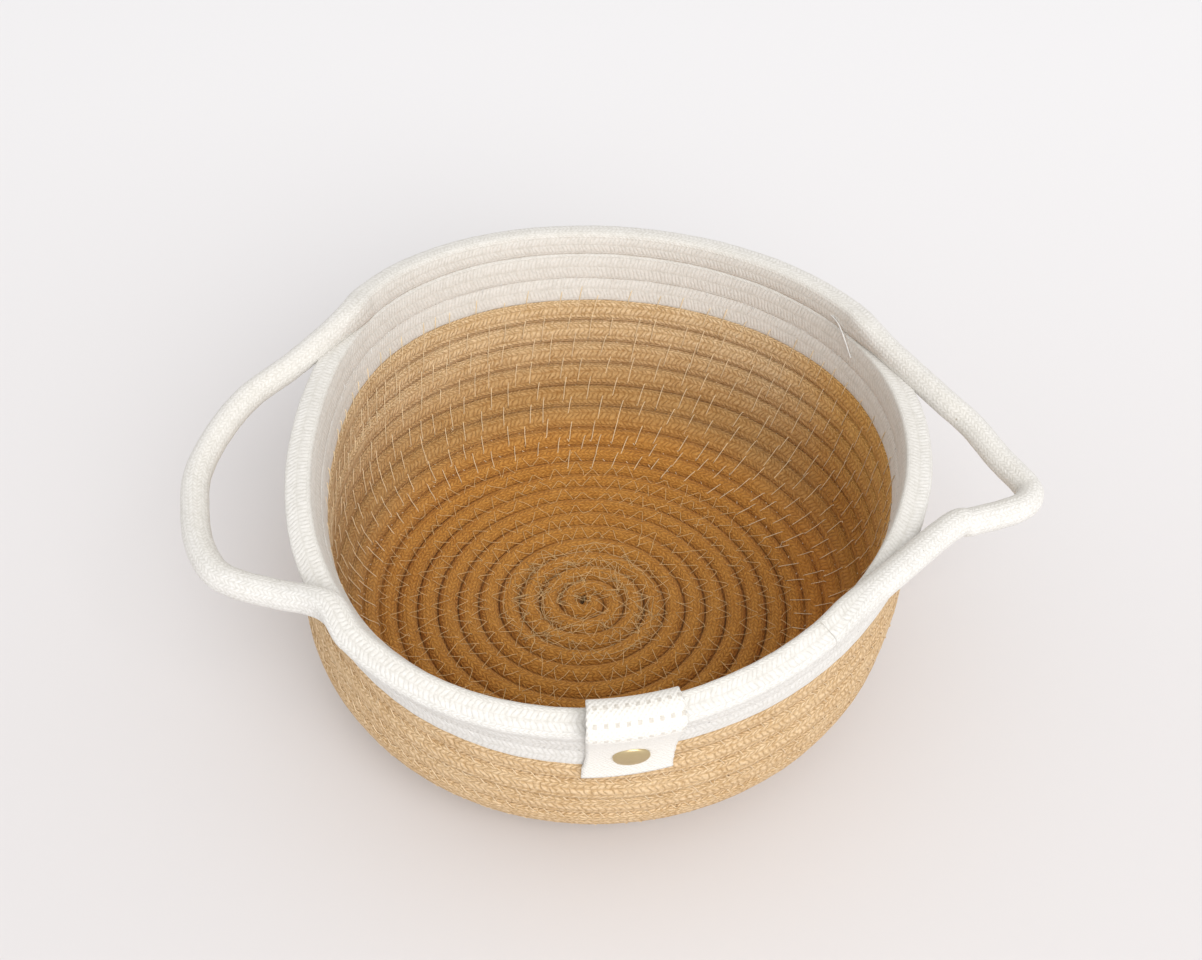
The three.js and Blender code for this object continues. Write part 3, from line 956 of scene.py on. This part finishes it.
def makeRivetCap():
    row = np.array([label["rivetRow"]])
    angle = np.array([math.radians(wall["labelAngle"])])
    centre, climb, inward = (value[0] for value in wallFrames(row, angle))
    outward = -inward
    seat = ropeRadius + label["clearance"] + label["thickness"]
    outline = [(0, 0), (rivet["capRadius"], 0), (rivet["capRadius"], rivet["edge"])]
    for step in range(1, rivet["domeSteps"] + 1):
        swing = step / rivet["domeSteps"] * math.pi / 2
        outline.append((
            rivet["capRadius"] * math.cos(swing),
            rivet["edge"] + (rivet["capHeight"] - rivet["edge"]) * math.sin(swing),
        ))
    bm = bmesh.new()
    verts = [bm.verts.new((radius, 0, height)) for radius, height in outline]
    edges = [bm.edges.new(pair) for pair in zip(verts, verts[1:])]
    bmesh.ops.spin(
        bm, geom=verts + edges, cent=(0, 0, 0), axis=(0, 0, 1), angle=2 * math.pi,
        steps=rivet["segments"], use_merge=True,
    )
    bmesh.ops.remove_doubles(bm, verts=bm.verts, dist=rivet["weld"])
    bmesh.ops.recalc_face_normals(bm, faces=bm.faces)
    side = np.cross(climb, outward)
    axes = np.stack([side, climb, outward], -1)
    facing = Matrix([list(axisRow) for axisRow in axes]).to_4x4()
    place = Matrix.Translation(Vector((centre + outward * seat) * mm)) @ facing @ Matrix.Scale(mm, 4)
    bmesh.ops.transform(bm, matrix=place, verts=bm.verts)
    for face in bm.faces:
        face.smooth = True
    mesh = bpy.data.meshes.new("rivetCap")
    bm.to_mesh(mesh)
    bm.free()
    dress(addObject("rivetCap", mesh), brass, "basket", "pale_brass", "rivet_cap")


brass = brassMaterial(brassLook)
makeRivetCap()
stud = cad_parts["rivet_stud"]
stud.data.materials.clear()
stud.data.materials.append(brass)
print("rivet set")


# floor, lights and camera: the floor, the key light and their places are in metres
floorLook = {
    "halfWidth": 6,
    # painted light on the floor: darker at the front, lighter towards the back
    "paintedFrontShade": (0.70, 0.68, 0.685),
    "paintedBackLight": (0.81, 0.805, 0.82),
    "paintedLightRange": (-0.2, 0.55),
    "roughness": 0.9,
}
keyLight = {"place": (0.95, -2.6, 2.1), "target": (0, 0, 0.05), "size": 2.6, "energy": 98}
studio = {"lightColour": (1, 0.985, 0.97), "strength": 0.8, "backdropColour": (0.93, 0.925, 0.93)}


def makeFloor():
    mesh, _ = flatGrid("floor", 1, 1)
    mesh.transform(Matrix.Scale(floorLook["halfWidth"], 4))
    material, tree, shader = newMaterial("paleFloor")
    place = splitNode(tree, objectCoords(tree))
    # painted light: the plain floor is darker at the front and lighter towards the back, as the light
    # falls on it
    towardsBack = rampNode(tree, place["Y"], *floorLook["paintedLightRange"])
    colour = mixColour(tree, towardsBack, floorLook["paintedFrontShade"], floorLook["paintedBackLight"])
    tree.links.new(colour, shader.inputs["Base Color"])
    shader.inputs["Roughness"].default_value = floorLook["roughness"]
    mesh.materials.append(material)
    floor = addObject("floor", mesh)


def makeKeyLight():
    light = bpy.data.lights.new("keyLight", "AREA")
    light.size = keyLight["size"]
    light.energy = keyLight["energy"]
    lamp = addObject("keyLight", light)
    lamp.location = keyLight["place"]
    aim = Vector(keyLight["target"]) - Vector(keyLight["place"])
    lamp.rotation_euler = aim.to_track_quat("-Z", "Y").to_euler()


# soft light from all round; the camera and the brass see a plain backdrop in its place
def makeStudio():
    world = bpy.data.worlds.new("studio")
    bpy.context.scene.world = world
    world.use_nodes = True
    tree = world.node_tree
    softLight = tree.nodes["Background"]
    softLight.inputs["Color"].default_value = (*studio["lightColour"], 1)
    softLight.inputs["Strength"].default_value = studio["strength"]
    backdrop = tree.nodes.new("ShaderNodeBackground")
    backdrop.inputs["Color"].default_value = (*studio["backdropColour"], 1)
    rays = tree.nodes.new("ShaderNodeLightPath")
    seen = mathNode(tree, "MAXIMUM", rays.outputs["Is Camera Ray"], rays.outputs["Is Glossy Ray"])
    chosen = tree.nodes.new("ShaderNodeMixShader")
    tree.links.new(seen, chosen.inputs[0])
    tree.links.new(softLight.outputs[0], chosen.inputs[1])
    tree.links.new(backdrop.outputs[0], chosen.inputs[2])
    tree.links.new(chosen.outputs[0], tree.nodes["World Output"].inputs[0])


# the camera looks down on the basket: angles in degrees, focal length and width in pixels of the
# photo, and its place from the middle of the basket
view = {
    "pitch": 41.67,
    "roll": 0.766,
    "focal": 1500,
    "imageWidth": 1202,
    "sensorWidth": 36,
    "place": (4.3, -357.7, 380.5),
}


def makeCamera():
    lens = bpy.data.cameras.new("camera")
    lens.sensor_width = view["sensorWidth"]
    lens.lens = view["focal"] / view["imageWidth"] * view["sensorWidth"]
    camera = addObject("camera", lens)
    tilt = Matrix.Rotation(math.radians(90 - view["pitch"]), 4, "X")
    roll = Matrix.Rotation(math.radians(view["roll"]), 4, "Z")
    place = Vector((np.array(view["place"]) + wallCentre) * mm)
    camera.matrix_world = Matrix.Translation(place) @ tilt @ roll
    bpy.context.scene.camera = camera
    bpy.context.scene.view_settings.view_transform = "Standard"


makeFloor()
makeKeyLight()
makeStudio()
makeCamera()
print("stage set")
